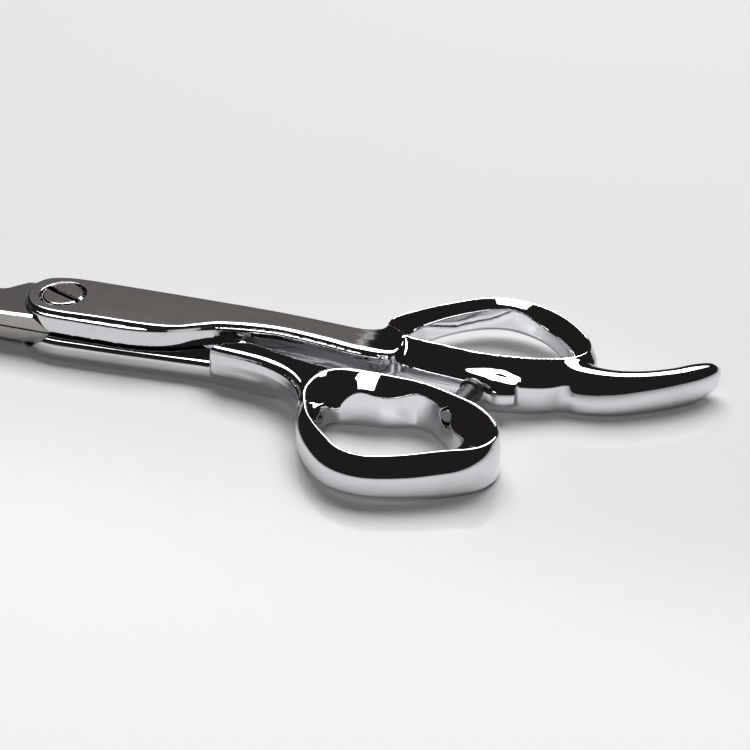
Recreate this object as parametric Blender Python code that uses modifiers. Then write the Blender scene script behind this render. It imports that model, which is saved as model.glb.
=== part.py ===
"""Hair cutting shears, closed and lying flat.

Two chrome-plated handles with satin steel blades turn on a slotted tension screw.  The upper half
carries the finger ring and the curved finger rest, the lower half the thumb ring and the rubber bumper.
Frame: origin on the screw's axis at the surface that the shears lie on, +Z up, +X from the screw towards the
rings, +Y towards the finger ring.  Sizes below are in millimetres; MM turns them into metres.
"""

import math

import bmesh
import bpy
from mathutils import Vector

MM = 0.001

# ---------------------------------------------------------------- driving dimensions
THICKNESS = 7.6            # the closed shears at the screw
LAP_GAP = 0.3              # between the two halves
SEAT_GAP = 0.3             # round each blade root in its handle
BLADE_THICKNESS = 2.45     # at the heel
TIP_THICKNESS = 0.7
BLADE_REACH = 90.0         # screw axis to the tips
EDGE_LAND = 0.35           # thickness left at the cutting edge
CHAMFER = 0.45             # along the flat faces of the handles

MID = THICKNESS / 2
UPPER_FACE = MID + LAP_GAP / 2          # underside of the upper half at the lap
LOWER_FACE = MID - LAP_GAP / 2          # top of the lower half at the lap
UPPER_BLADE_TOP = UPPER_FACE + BLADE_THICKNESS
LOWER_BLADE_BOTTOM = LOWER_FACE - BLADE_THICKNESS

HEAD_RADIUS = 3.6
HEAD_HEIGHT = 1.0
HEAD_CLEARANCE = 0.15
HEAD_BEVEL = 0.25
SLOT_WIDTH = 1.0
SLOT_DEPTH = 0.65
SLOT_ANGLE = math.radians(-18.5)
SHOULDER_RADIUS = 2.3
SHOULDER_CLEARANCE = 0.15
THREAD_RADIUS = 1.8
INSERT_RADIUS = 3.0
INSERT_TOP = 3.0
WASHER_RADIUS = 4.2
WASHER_THICKNESS = 0.5
SPRING_RADIUS = 3.5
SPRING_THICKNESS = 0.2
SPRING_CONE = 0.12

STUD_RADIUS = 1.1
BUMPER_RADIUS = 1.9
BUMPER_HEIGHT = 6.0

ROUND = 48                 # sides of a round piece
RING_STEPS = 60            # stations round a finger ring
SECTION_SIDES = 16         # points round a rounded section
CORNER_CUT = 0.6           # how far a ring wall's corner rounding reaches along each side

CHROME = ("chrome", (0.80, 0.80, 0.81), 0.06, 1.0)
SATIN = ("satin_steel", (0.62, 0.60, 0.57), 0.34, 1.0)
STEEL = ("screw_steel", (0.42, 0.41, 0.40), 0.22, 1.0)
SPRING_STEEL = ("spring_steel", (0.45, 0.45, 0.46), 0.30, 1.0)
NYLON = ("nylon", (0.86, 0.85, 0.80), 0.50, 0.0)
BRASS = ("insert_brass", (0.78, 0.62, 0.33), 0.30, 1.0)
RUBBER = ("black_rubber", (0.035, 0.033, 0.032), 0.45, 0.0)

# ---------------------------------------------------------------- outlines and centre lines (x, y)
UPPER_PAD = [(-6.5, 0.2), (-6.3, -1.4), (-5.5, -3.4), (-3.7, -5.4), (-1.2, -6.4), (2.1, -6.5), (9.2, -6.1),
             (14.2, -5.75), (18.3, -4.9), (22.1, -3.5), (24.9, -2.0), (28.0, -0.7), (33.0, 0.4),
             (38.0, 0.9), (45.0, 0.4), (51.0, -0.2), (56.5, 0.6), (57.5, 4.0), (56.0, 8.0), (53.6, 9.0),
             (52.0, 7.7), (49.5, 6.9), (44.4, 7.0), (35.0, 7.2), (21.7, 6.8), (9.4, 6.3), (1.0, 5.85),
             (-2.8, 5.1), (-4.9, 4.0), (-6.1, 2.2)]
UPPER_RIB = [(26.9, 1.1), (29.5, 0.3), (33.0, 0.6), (38.0, 1.0), (45.0, 0.6), (51.0, 0.0), (56.5, 0.9),
             (57.5, 4.0), (56.0, 8.0), (53.4, 8.9), (51.5, 7.6), (49.0, 6.8), (44.0, 7.0), (36.0, 7.2),
             (27.6, 6.8), (26.2, 4.0)]
LOWER_PAD = [(-6.6, -1.2), (-6.4, -3.6), (-5.6, -5.7), (-3.2, -7.6), (1.2, -8.45), (6.9, -8.1),
             (13.8, -7.5), (20.5, -6.8), (28.4, -6.1), (34.0, -6.5), (37.5, -6.8), (40.0, -6.6),
             (40.0, -4.0), (34.0, -2.9), (29.5, -1.3), (26.4, 0.3), (22.0, 2.2), (16.0, 4.0), (9.0, 4.9),
             (1.0, 5.2), (-3.2, 4.3), (-5.6, 1.8)]
LOWER_RISE = [(28.7, -6.2), (32.0, -6.5), (36.0, -6.8), (39.0, -7.5), (42.0, -8.8), (44.5, -10.8),
              (46.6, -13.8), (47.5, -14.3), (48.0, -11.0), (49.5, -7.9), (53.2, -5.4), (52.5, -4.6),
              (48.0, -4.6), (44.0, -4.2), (40.0, -3.5), (36.4, -2.6), (33.8, -2.3), (30.8, -3.3),
              (29.0, -5.0)]
# hollow along the near side of the upper shank: x, y, half width, lowest z, highest z
FLUTE = [(24.0, -4.6, 3.4, 0.8, 7.6), (28.0, -2.9, 3.4, 0.8, 7.6), (33.0, -2.3, 3.4, 0.8, 7.6),
         (38.0, -1.9, 3.4, 0.8, 7.6), (44.0, -2.2, 3.4, 0.8, 7.6), (50.0, -3.0, 3.4, 0.8, 7.6),
         (56.0, -3.8, 3.4, 0.8, 7.6)]

# Rings round the finger holes: x, y, half width, lowest z, highest z, how far out the crest lies, how
# steeply the wall falls from the crest to the inside and to the outside, and how far the inner wall leans
# out for each mm up
FINGER_RING = [(57.0, 5.0, 2.5, 0.1, 7.6, -2.1, 1.6, 0.6, 0.03),
               (63.0, 4.2, 2.8, 0.1, 7.6, -2.5, 1.6, 0.43, 0.03),
               (69.0, 3.9, 2.8, 0.1, 7.6, -2.5, 1.6, 0.43, 0.03),
               (74.5, 4.5, 2.8, 0.1, 7.6, -2.4, 1.6, 0.43, 0.03),
               (79.8, 6.1, 2.7, 0.1, 7.6, -2.1, 1.6, 0.5, 0.05),
               (83.4, 9.4, 2.7, 0.3, 7.5, -0.6, 1.2, 0.7, 0.1),
               (84.0, 13.6, 2.4, 1.0, 7.3, 1.0, 0.9, 1.8, 0.2),
               (81.4, 17.9, 2.0, 1.6, 7.2, 1.1, 0.9, 2.6, 0.2),
               (76.6, 21.8, 1.8, 1.9, 7.1, 1.1, 0.8, 2.8, 0.15),
               (70.6, 23.6, 1.7, 2.0, 7.1, 1.1, 0.26, 2.8, 0.1),
               (65.6, 22.7, 1.6, 2.0, 7.1, 1.0, 0.45, 2.8, 0.15),
               (60.8, 19.4, 1.4, 1.9, 7.1, 0.9, 0.8, 2.8, 0.2),
               (56.4, 15.0, 1.5, 1.6, 7.2, 1.0, 1.0, 2.6, 0.2),
               (54.1, 11.2, 1.9, 1.0, 7.3, 1.3, 1.0, 2.4, 0.2),
               (54.2, 7.6, 2.3, 0.4, 7.5, 0.0, 1.4, 1.8, 0.1)]
THUMB_RING = [(50.2, -8.4, 2.7, 0.4, 7.6, 2.1, 0.9, 3.0, 0.05),
              (54.2, -6.9, 2.6, 0.1, 7.6, 2.0, 0.26, 3.0, 0.03),
              (58.8, -6.5, 2.3, 0.1, 7.6, 1.7, 0.45, 3.0, 0.05),
              (63.6, -5.9, 1.4, 0.1, 7.6, 0.9, 0.6, 3.0, 0.1),
              (68.3, -7.4, 1.8, 0.1, 7.6, 1.2, 0.6, 3.0, 0.1),
              (72.6, -10.3, 2.8, 0.2, 7.6, 2.3, 0.5, 3.0, 0.05),
              (75.9, -14.2, 3.0, 0.3, 7.6, 2.5, 0.3, 3.0, 0.04),
              (75.9, -17.9, 2.6, 0.3, 7.6, 1.6, 0.3, 1.6, 0.04),
              (72.4, -21.4, 2.2, 0.5, 7.3, -0.5, 1.0, 0.8, 0.03),
              (67.2, -24.5, 1.9, 0.7, 6.9, -1.2, 2.0, 0.62, 0.03),
              (61.6, -26.3, 1.8, 0.8, 6.7, -1.2, 2.0, 0.6, 0.03),
              (56.8, -25.5, 1.8, 0.8, 6.7, -1.2, 2.0, 0.6, 0.03),
              (52.6, -22.1, 1.7, 0.8, 6.8, -1.0, 2.0, 0.7, 0.03),
              (49.6, -17.2, 1.9, 0.8, 6.9, 0.2, 1.2, 1.2, 0.1),
              (48.7, -12.4, 1.9, 0.8, 7.4, 1.3, 1.0, 2.6, 0.1)]
# finger rest and lug: x, y, half width, lowest z, highest z, share of the height where the section is widest
FINGER_REST = [(81.0, 9.4, 3.7, 0.3, 6.9, 0.2), (85.5, 8.6, 3.7, 0.1, 6.8, 0.16),
               (90.0, 9.0, 3.0, 0.1, 6.6, 0.22), (94.5, 10.8, 2.4, 0.1, 6.4, 0.36),
               (98.5, 13.3, 2.1, 0.2, 6.3, 0.46), (101.6, 16.0, 2.0, 0.5, 6.2, 0.5),
               (103.6, 18.0, 1.5, 1.3, 5.7, 0.5), (104.6, 19.1, 0.6, 2.6, 4.6, 0.5)]
LUG = [(54.0, 3.8, 0.9, 2.0, 5.0, 0.4), (58.0, 3.4, 1.2, 2.0, 5.0, 0.4), (63.0, 3.0, 1.4, 2.0, 5.2, 0.4),
       (68.0, 2.8, 1.5, 2.0, 5.5, 0.5), (71.5, 2.6, 2.0, 1.9, 6.0, 0.5), (74.0, 2.2, 2.5, 1.8, 6.2, 0.5),
       (76.4, 2.5, 1.8, 2.2, 5.6, 0.5)]
UPPER_ROUND = 2.2          # exponent of a rounded section above its widest height, where 2 is an ellipse
LOWER_ROUND = 4.0          # the same below it

# blade outline in plan: x, back of the upper blade (y), its cutting edge (y), share of the full edge bevel
BLADE = [(-1.0, -6.5, 3.9, 0.0), (-6.4, -6.8, 4.1, 0.0), (-8.4, -6.85, 3.6, 0.0), (-10.5, -6.8, 1.4, 0.1),
         (-13.0, -6.65, 0.8, 0.35), (-22.0, -6.0, 0.9, 1.0), (-36.0, -5.1, 0.75, 1.0),
         (-50.0, -4.15, 0.4, 1.0), (-64.0, -3.2, -0.05, 1.0), (-76.0, -2.4, -0.5, 1.0),
         (-84.0, -1.85, -0.8, 1.0), (-88.5, -1.5, -1.05, 1.0), (-BLADE_REACH, -1.35, -1.2, 1.0)]
EDGE_BEVEL = 1.5           # width of the bevel along the cutting edge
CHAMFER_WIDTH = 0.6        # polished chamfer along the back and round the heel
CHAMFER_DEPTH = 0.16
HEEL_SLANT = [(0.6, 0.0), (-2.6, 1.0)]      # x of the heel's end at the lap face and at the outer face
ROOT_MIDDLE = -0.4         # y of the root's middle
ROOT = [(None, 3.9), (5.0, 3.9), (7.4, 3.0), (8.6, 1.4)]     # x (None on the slanted heel) and half width
ROOT_LIFT = 0.05           # root clear of the lap face
ROOT_DROP = 0.3            # root thinner than the heel

BUMPER_AT = (69.6, -5.4, 5.0)      # middle of the bumper's base, on the thumb ring's far wall
BUMPER_TO = (70.6, 0.6, 5.2)       # where the bumper points


# ---------------------------------------------------------------- building blocks
def clear_scene():
    for item in list(bpy.data.objects):
        bpy.data.objects.remove(item, do_unlink=True)


def collection(name):
    made = bpy.data.collections.new(name)
    bpy.context.scene.collection.children.link(made)
    return made


def material(spec):
    name, color, roughness, metallic = spec
    made = bpy.data.materials.get(name) or bpy.data.materials.new(name)
    made.use_nodes = True
    shader = made.node_tree.nodes["Principled BSDF"]
    shader.inputs["Base Color"].default_value = (*color, 1.0)
    shader.inputs["Roughness"].default_value = roughness
    shader.inputs["Metallic"].default_value = metallic
    return made


def add_object(name, mesh, group, spec=None):
    made = bpy.data.objects.new(name, mesh)
    group.objects.link(made)
    if spec:
        made.data.materials.append(material(spec))
    if group is CUTTERS:
        made.hide_render = True
        made.display_type = "WIRE"
    return made


def mesh_object(name, bm, group, spec=None):
    bmesh.ops.recalc_face_normals(bm, faces=bm.faces)
    mesh = bpy.data.meshes.new(name)
    bm.to_mesh(mesh)
    bm.free()
    return add_object(name, mesh, group, spec)


def smooth_line(points, steps, closed):
    """Catmull-Rom curve through the points, each of which may carry more numbers than x and y."""
    count = len(points)
    spans = count if closed else count - 1
    line = []
    for index in range(spans):
        if closed:
            p0, p1, p2, p3 = (points[(index + k) % count] for k in (-1, 0, 1, 2))
        else:
            p0, p1, p2, p3 = (points[min(max(index + k, 0), count - 1)] for k in (-1, 0, 1, 2))
        for step in range(steps):
            t = step / steps
            line.append(tuple(
                0.5 * (2 * b + (c - a) * t + (2 * a - 5 * b + 4 * c - d) * t ** 2
                       + (3 * b - a - 3 * c + d) * t ** 3)
                for a, b, c, d in zip(p0, p1, p2, p3)))
    if not closed:
        line.append(points[-1])
    return line


def plate(name, outline, low, high, group, spec=None, chamfer=CHAMFER, steps=3):
    """A flat outline extruded from low to high, with its corners chamfered on both faces."""
    curve = bpy.data.curves.new(name, "CURVE")
    curve.dimensions = "2D"
    curve.fill_mode = "BOTH"
    curve.extrude = (high - low) / 2 * MM
    spline = curve.splines.new("POLY")
    points = smooth_line(outline, steps, True) if steps > 1 else outline
    spline.points.add(len(points) - 1)
    for target, (x, y) in zip(spline.points, points):
        target.co = (x * MM, y * MM, 0, 1)
    spline.use_cyclic_u = True
    guide = bpy.data.objects.new(name + "_curve", curve)
    guide.location.z = (low + high) / 2 * MM
    bpy.context.scene.collection.objects.link(guide)
    made = curve_to_mesh(guide, name, group, spec)
    if chamfer:
        bevel = made.modifiers.new("chamfer", "BEVEL")
        bevel.width = chamfer * MM
        bevel.segments = 1
        bevel.limit_method = "ANGLE"
        bevel.angle_limit = math.radians(60)
        apply_modifiers(made)
    return made


def apply_modifiers(item):
    bpy.context.view_layer.update()
    evaluated = item.evaluated_get(bpy.context.evaluated_depsgraph_get())
    result = bpy.data.meshes.new_from_object(evaluated)
    item.modifiers.clear()
    item.data = result


def curve_to_mesh(guide, name, group, spec):
    bpy.context.view_layer.update()
    evaluated = guide.evaluated_get(bpy.context.evaluated_depsgraph_get())
    mesh = bpy.data.meshes.new_from_object(evaluated)
    mesh.transform(guide.matrix_world)
    bm = bmesh.new()
    bm.from_mesh(mesh)
    bmesh.ops.remove_doubles(bm, verts=bm.verts, dist=1e-6)
    bpy.data.objects.remove(guide, do_unlink=True)
    bpy.data.meshes.remove(mesh)
    return mesh_object(name, bm, group, spec)


def rounded_section(half_width, low, high, share):
    """Points of a section with its widest place at a share of its height: side and height."""
    points = []
    widest = low + share * (high - low)
    for index in range(SECTION_SIDES):
        angle = 2 * math.pi * (index + 0.5) / SECTION_SIDES
        c, s = math.cos(angle), math.sin(angle)
        power = 2 / (UPPER_ROUND if s > 0 else LOWER_ROUND)
        reach = high - widest if s > 0 else widest - low
        points.append((math.copysign(abs(c) ** power, c) * half_width,
                       widest + math.copysign(abs(s) ** power, s) * reach))
    return points


def ring_section(half_width, low, high, crest, fall_in, fall_out, lean):
    """Points of a ring wall's section, outer side positive, with every corner rounded."""
    brow = (high - fall_in * (crest + half_width + lean * low)) / (1 - fall_in * lean)
    corners = [(half_width, low), (half_width, high - fall_out * (half_width - crest)), (crest, high),
               (lean * (brow - low) - half_width, brow), (-half_width, low)]
    points = []
    for index, corner in enumerate(corners):
        before = corners[index - 1]
        after = corners[(index + 1) % len(corners)]
        ends = []
        for other in (before, after):
            length = math.dist(corner, other)
            share = min(CORNER_CUT, 0.42 * length) / length
            ends.append(tuple(a + (b - a) * share for a, b in zip(corner, other)))
        middle = tuple(0.25 * a + 0.5 * b + 0.25 * c for a, b, c in zip(ends[0], corner, ends[1]))
        points += [ends[0], middle, ends[1]]
    return points


def round_tube(half_width, low, high):
    """Points of a plain round section."""
    turn = [2 * math.pi * k / SECTION_SIDES for k in range(SECTION_SIDES)]
    return [(half_width * math.cos(a), (low + high) / 2 + (high - low) / 2 * math.sin(a)) for a in turn]


def handle_sweep(name, stations, steps, closed, group, section):
    """A solid with rounded sections along a curved centre line, as a ring or with two ends."""
    line = smooth_line(stations, steps, closed)
    bm = bmesh.new()
    rings = []
    count = len(line)
    for index, (x, y, *sizes) in enumerate(line):
        before = line[(index - 1) % count] if closed else line[max(index - 1, 0)]
        after = line[(index + 1) % count] if closed else line[min(index + 1, count - 1)]
        along = Vector((after[0] - before[0], after[1] - before[1])).normalized()
        rings.append([bm.verts.new(Vector((x + along.y * side, y - along.x * side, z)) * MM)
                      for side, z in section(*sizes)])
    pairs = list(zip(rings, rings[1:] + rings[:1] if closed else rings[1:]))
    for one, two in pairs:
        for k in range(len(one)):
            n = (k + 1) % len(one)
            bm.faces.new((one[k], one[n], two[n], two[k]))
    if not closed:
        bm.faces.new(rings[0])
        bm.faces.new(rings[-1])
    return mesh_object(name, bm, group)


def cylinder(name, radius, low, high, group, spec=None, centre=(0.0, 0.0)):
    bm = bmesh.new()
    bmesh.ops.create_cone(bm, cap_ends=True, segments=ROUND, radius1=radius * MM, radius2=radius * MM,
                          depth=(high - low) * MM)
    bmesh.ops.translate(bm, verts=bm.verts, vec=Vector((centre[0], centre[1], (low + high) / 2)) * MM)
    return mesh_object(name, bm, group, spec)


def turned(name, profile, group, spec=None):
    """A closed turned shape; the profile runs down its outer side, then back up its bore or to the axis."""
    mesh = bpy.data.meshes.new(name)
    closed = profile[0][0] > 0
    edges = [(k, k + 1) for k in range(len(profile) - 1)]
    if closed:
        edges.append((len(profile) - 1, 0))
    mesh.from_pydata([(r * MM, 0, z * MM) for r, z in profile], edges, [])
    made = add_object(name, mesh, group, spec)
    screw = made.modifiers.new("turn", "SCREW")
    screw.steps = screw.render_steps = ROUND
    screw.use_merge_vertices = True
    screw.merge_threshold = 0.00001
    screw.use_smooth_shade = False
    return made


def combine(target, other, operation):
    """Applies a Boolean and drops the other object when it was only a building piece."""
    cut = target.modifiers.new(operation.lower(), "BOOLEAN")
    cut.operation = operation
    cut.object = other
    cut.solver = "EXACT"
    apply_modifiers(target)
    if operation == "UNION":
        bpy.data.objects.remove(other, do_unlink=True)


def shade(item, degrees=35):
    item.data.shade_smooth()
    item.data.set_sharp_from_angle(angle=math.radians(degrees))


# ---------------------------------------------------------------- the blades
def blade_section(bm, x_at, sides, heights):
    """Six corners: lap face at back and edge, land above the edge, bevel, chamfered back.

    x_at gives x from height.
    """
    back, edge, bevel, rounded = sides
    lap, land, outer, shoulder = heights
    corners = ((back, lap), (edge, lap), (edge, land), (edge - bevel, outer), (back + rounded, outer),
               (back, shoulder))
    return [bm.verts.new(Vector((x_at(z), y, z)) * MM) for y, z in corners]


def blade_solid(name, outer_at_heel, lap_face, edge_side, group, spec):
    """A tapering blade with a bevelled cutting edge, a slanted heel, and a root that its handle holds."""
    outward = 1 if outer_at_heel > lap_face else -1
    lap_x, outer_x = HEEL_SLANT[0][0], HEEL_SLANT[1][0]

    def slanted(z):
        return lap_x + (outer_x - lap_x) * (z - lap_face) / (outer_at_heel - lap_face)

    bm = bmesh.new()
    rings = []
    for x, width in reversed(ROOT):
        low = lap_face + outward * ROOT_LIFT
        high = outer_at_heel - outward * ROOT_DROP
        back = ROOT_MIDDLE - edge_side * width
        edge = ROOT_MIDDLE + edge_side * width
        sides = (back, edge, 0.4 * edge_side, 0.4 * edge_side)
        heights = (low, low + outward * 0.6, high, high - outward * 0.4)
        rings.append(blade_section(bm, slanted if x is None else (lambda z, x=x: x), sides, heights))
    line = BLADE[:3] + smooth_line(BLADE[3:], 2, False)
    for index, (x, back, edge, share) in enumerate(line):
        if edge_side < 0:
            back, edge = edge, back
        taper = max(0.0, -x / BLADE_REACH)
        outer = lap_face + outward * (BLADE_THICKNESS + (TIP_THICKNESS - BLADE_THICKNESS) * taper)
        width = abs(edge - back)
        thickness = abs(outer - lap_face)
        bevel = CHAMFER_WIDTH + (min(EDGE_BEVEL, width * 0.45) - CHAMFER_WIDTH) * share
        land = (thickness - CHAMFER_DEPTH) + (EDGE_LAND - thickness + CHAMFER_DEPTH) * share
        sides = (back, edge, bevel * edge_side, min(CHAMFER_WIDTH, width * 0.2) * edge_side)
        heights = (lap_face, lap_face + outward * land, outer, outer - outward * CHAMFER_DEPTH)
        rings.append(blade_section(bm, slanted if index == 0 else (lambda z, x=x: x), sides, heights))
    for one, two in zip(rings, rings[1:]):
        for k in range(6):
            n = (k + 1) % 6
            bm.faces.new((one[k], one[n], two[n], two[k]))
    bm.faces.new(rings[0])
    bm.faces.new(rings[-1])
    return mesh_object(name, bm, group, spec)


def seat_cutters(prefix, lap_face, outer_face):
    """Cutters for a handle: the room above the blade's heel, and the pocket for its root."""
    outward = 1 if outer_face > lap_face else -1
    top = outer_face + outward * SEAT_GAP
    beyond = lap_face - outward * 2.0
    bm = bmesh.new()
    profile = [(-20.0, beyond), (HEEL_SLANT[0][0] + 0.35, beyond), (HEEL_SLANT[0][0] + 0.35, lap_face),
               (HEEL_SLANT[1][0] + 0.3, top), (-20.0, top)]
    near = [bm.verts.new(Vector((x, -15.0, z)) * MM) for x, z in profile]
    far = [bm.verts.new(Vector((x, 15.0, z)) * MM) for x, z in profile]
    bm.faces.new(near)
    bm.faces.new(far)
    for k in range(len(profile)):
        n = (k + 1) % len(profile)
        bm.faces.new((near[k], near[n], far[n], far[k]))
    heel = mesh_object(prefix + "_heel_room", bm, CUTTERS)
    upper_side = [(-6.0, ROOT[1][1] + SEAT_GAP)] + [(x + SEAT_GAP, w + SEAT_GAP) for x, w in ROOT[1:]]
    outline = [(x, ROOT_MIDDLE + w) for x, w in upper_side]
    outline += [(x, ROOT_MIDDLE - w) for x, w in reversed(upper_side)]
    low, high = sorted((beyond, outer_face))
    pocket = plate(prefix + "_root_pocket", outline, low, high, CUTTERS, chamfer=0.0, steps=1)
    return heel, pocket


# ---------------------------------------------------------------- the pieces
def build_finger_handle():
    handle = plate("finger_handle", UPPER_PAD, UPPER_FACE, THICKNESS, SHEARS, CHROME)
    rib = plate("rib", UPPER_RIB, 0.35, 6.3, SHEARS, chamfer=0.3)
    combine(rib, handle_sweep("flute", FLUTE, 3, False, CUTTERS, round_tube), "DIFFERENCE")
    combine(handle, rib, "UNION")
    ring_steps = RING_STEPS // len(FINGER_RING)
    combine(handle, handle_sweep("ring", FINGER_RING, ring_steps, True, SHEARS, ring_section), "UNION")
    combine(handle, handle_sweep("rest", FINGER_REST, 3, False, SHEARS, rounded_section), "UNION")
    combine(handle, handle_sweep("lug", LUG, 3, False, SHEARS, rounded_section), "UNION")
    for cutter in seat_cutters("finger", UPPER_FACE, UPPER_BLADE_TOP):
        combine(handle, cutter, "DIFFERENCE")
    well = cylinder("finger_head_well", HEAD_RADIUS + HEAD_CLEARANCE, MID, THICKNESS + 1, CUTTERS)
    combine(handle, well, "DIFFERENCE")
    return handle


def build_thumb_handle():
    handle = plate("thumb_handle", LOWER_PAD, 0.0, LOWER_FACE, SHEARS, CHROME)
    rise = plate("rise", LOWER_RISE, 1.3, 6.9, SHEARS, chamfer=0.7)
    combine(handle, rise, "UNION")
    ring_steps = RING_STEPS // len(THUMB_RING)
    combine(handle, handle_sweep("ring", THUMB_RING, ring_steps, True, SHEARS, ring_section), "UNION")
    for cutter in seat_cutters("thumb", LOWER_FACE, LOWER_BLADE_BOTTOM):
        combine(handle, cutter, "DIFFERENCE")
    hole = cylinder("thumb_insert_hole", INSERT_RADIUS + HEAD_CLEARANCE, -1.0, MID, CUTTERS)
    combine(handle, hole, "DIFFERENCE")
    combine(handle, along_bumper("stud_hole", STUD_RADIUS + 0.2, -7.0, 3.0, CUTTERS), "DIFFERENCE")
    return handle


def build_blades():
    upper = blade_solid("finger_blade", UPPER_BLADE_TOP, UPPER_FACE, 1, SHEARS, SATIN)
    bore = cylinder("upper_bore", SHOULDER_RADIUS + SHOULDER_CLEARANCE, MID - 1, THICKNESS, CUTTERS)
    combine(upper, bore, "DIFFERENCE")
    spot_face = cylinder("head_spot_face", HEAD_RADIUS + HEAD_CLEARANCE, UPPER_BLADE_TOP - ROOT_DROP,
                         THICKNESS, CUTTERS)
    combine(upper, spot_face, "DIFFERENCE")
    lower = blade_solid("thumb_blade", LOWER_BLADE_BOTTOM, LOWER_FACE, -1, SHEARS, SATIN)
    bore = cylinder("lower_bore", INSERT_RADIUS + HEAD_CLEARANCE, -1.0, MID, CUTTERS)
    combine(lower, bore, "DIFFERENCE")
    return upper, lower


def build_pivot():
    head_low = THICKNESS - HEAD_HEIGHT
    shoulder_low = INSERT_TOP + 0.15
    screw = turned("pivot_screw", [
        (0.0, THICKNESS), (HEAD_RADIUS - HEAD_BEVEL, THICKNESS), (HEAD_RADIUS, THICKNESS - HEAD_BEVEL * 0.8),
        (HEAD_RADIUS, head_low), (SHOULDER_RADIUS, head_low), (SHOULDER_RADIUS, shoulder_low),
        (THREAD_RADIUS, shoulder_low), (THREAD_RADIUS, 0.0), (0.0, 0.0)], SHEARS, STEEL)
    bm = bmesh.new()
    bmesh.ops.create_cube(bm, size=1.0)
    bmesh.ops.scale(bm, verts=bm.verts, vec=Vector((12.0, SLOT_WIDTH, 2 * SLOT_DEPTH)) * MM)
    slot = mesh_object("screw_slot", bm, CUTTERS)
    slot.location.z = THICKNESS * MM
    slot.rotation_euler.z = SLOT_ANGLE
    combine(screw, slot, "DIFFERENCE")
    spring_low = UPPER_BLADE_TOP - 0.3 + 0.06
    spring = turned("spring_washer", [
        (SPRING_RADIUS, spring_low + SPRING_THICKNESS), (SPRING_RADIUS, spring_low),
        (SHOULDER_RADIUS + SHOULDER_CLEARANCE, spring_low + SPRING_CONE),
        (SHOULDER_RADIUS + SHOULDER_CLEARANCE, spring_low + SPRING_CONE + SPRING_THICKNESS)],
        SHEARS, SPRING_STEEL)
    insert = turned("threaded_insert", [
        (INSERT_RADIUS, INSERT_TOP), (INSERT_RADIUS, 0.05), (THREAD_RADIUS + 0.1, 0.05),
        (THREAD_RADIUS + 0.1, INSERT_TOP)], SHEARS, BRASS)
    washer_low = INSERT_TOP + 0.15
    washer = turned("pivot_washer", [
        (INSERT_RADIUS, washer_low + WASHER_THICKNESS), (INSERT_RADIUS, washer_low),
        (SHOULDER_RADIUS + SHOULDER_CLEARANCE, washer_low),
        (SHOULDER_RADIUS + SHOULDER_CLEARANCE, washer_low + WASHER_THICKNESS)], SHEARS, NYLON)
    return screw, spring, insert, washer


def bumper_frame():
    """Turns +Z onto the bumper's axis, with the origin in the middle of its base."""
    base = Vector(BUMPER_AT)
    along = (Vector(BUMPER_TO) - base).normalized()
    frame = along.to_track_quat("Z", "Y").to_matrix().to_4x4()
    frame.translation = base * MM
    return frame


def along_bumper(name, radius, low, high, group, spec=None):
    piece = cylinder(name, radius, low, high, group, spec)
    piece.data.transform(bumper_frame())
    return piece


def build_bumper():
    top = BUMPER_HEIGHT
    cap = turned("bumper_cap", [
        (0.0, top), (0.9, top - 0.15), (1.5, top - 0.6), (BUMPER_RADIUS, top - 1.3),
        (BUMPER_RADIUS, top - 2.1), (BUMPER_RADIUS - 0.35, top - 2.4), (BUMPER_RADIUS - 0.3, 0.0),
        (STUD_RADIUS + 0.1, 0.0), (STUD_RADIUS + 0.1, 2.0), (0.0, 2.0)], SHEARS, RUBBER)
    cap.matrix_world = bumper_frame()
    stud = along_bumper("bumper_stud", STUD_RADIUS, -3.7, 1.7, SHEARS, STEEL)
    return cap, stud


def add_axis(name, location):
    marker = bpy.data.objects.new(name, None)
    marker.empty_display_type = "SINGLE_ARROW"
    marker.empty_display_size = 0.02
    marker.location = location
    SHEARS.objects.link(marker)
    return marker


def parent_to(axis, pieces):
    bpy.context.view_layer.update()
    for piece in pieces:
        piece.parent = axis
        piece.matrix_parent_inverse = axis.matrix_world.inverted()


clear_scene()
SHEARS = collection("hair_cutting_shears")
CUTTERS = collection("cutters")
finger_handle = build_finger_handle()
thumb_handle = build_thumb_handle()
finger_blade, thumb_blade = build_blades()
pivot_screw, spring_washer, threaded_insert, pivot_washer = build_pivot()
bumper_cap, bumper_stud = build_bumper()
pivot_axis = add_axis("pivot_axis", (0.0, 0.0, 0.0))
screw_axis = add_axis("screw_axis", (0.0, 0.0, 0.0))
parent_to(pivot_axis, (finger_handle, finger_blade, spring_washer))
parent_to(screw_axis, (pivot_screw,))
for piece in (finger_handle, thumb_handle, finger_blade, thumb_blade, bumper_stud):
    shade(piece)
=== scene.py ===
"""Looks of the hair cutting shears: bright chrome handles with brush-lined flats, satin blades, rubber
bumper.
The flat faces of the handles, the blades and the screw head, the screw's slot and the bumper's stud carry
painted shade.

Sizes are in millimetres, in the frame of the CAD model; MM turns them into metres.
The two handles and the pivot screw are rounded solids, each described by one distance field that is
meshed finely here. The other pieces keep their CAD meshes and get new materials.
"""

import math

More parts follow.
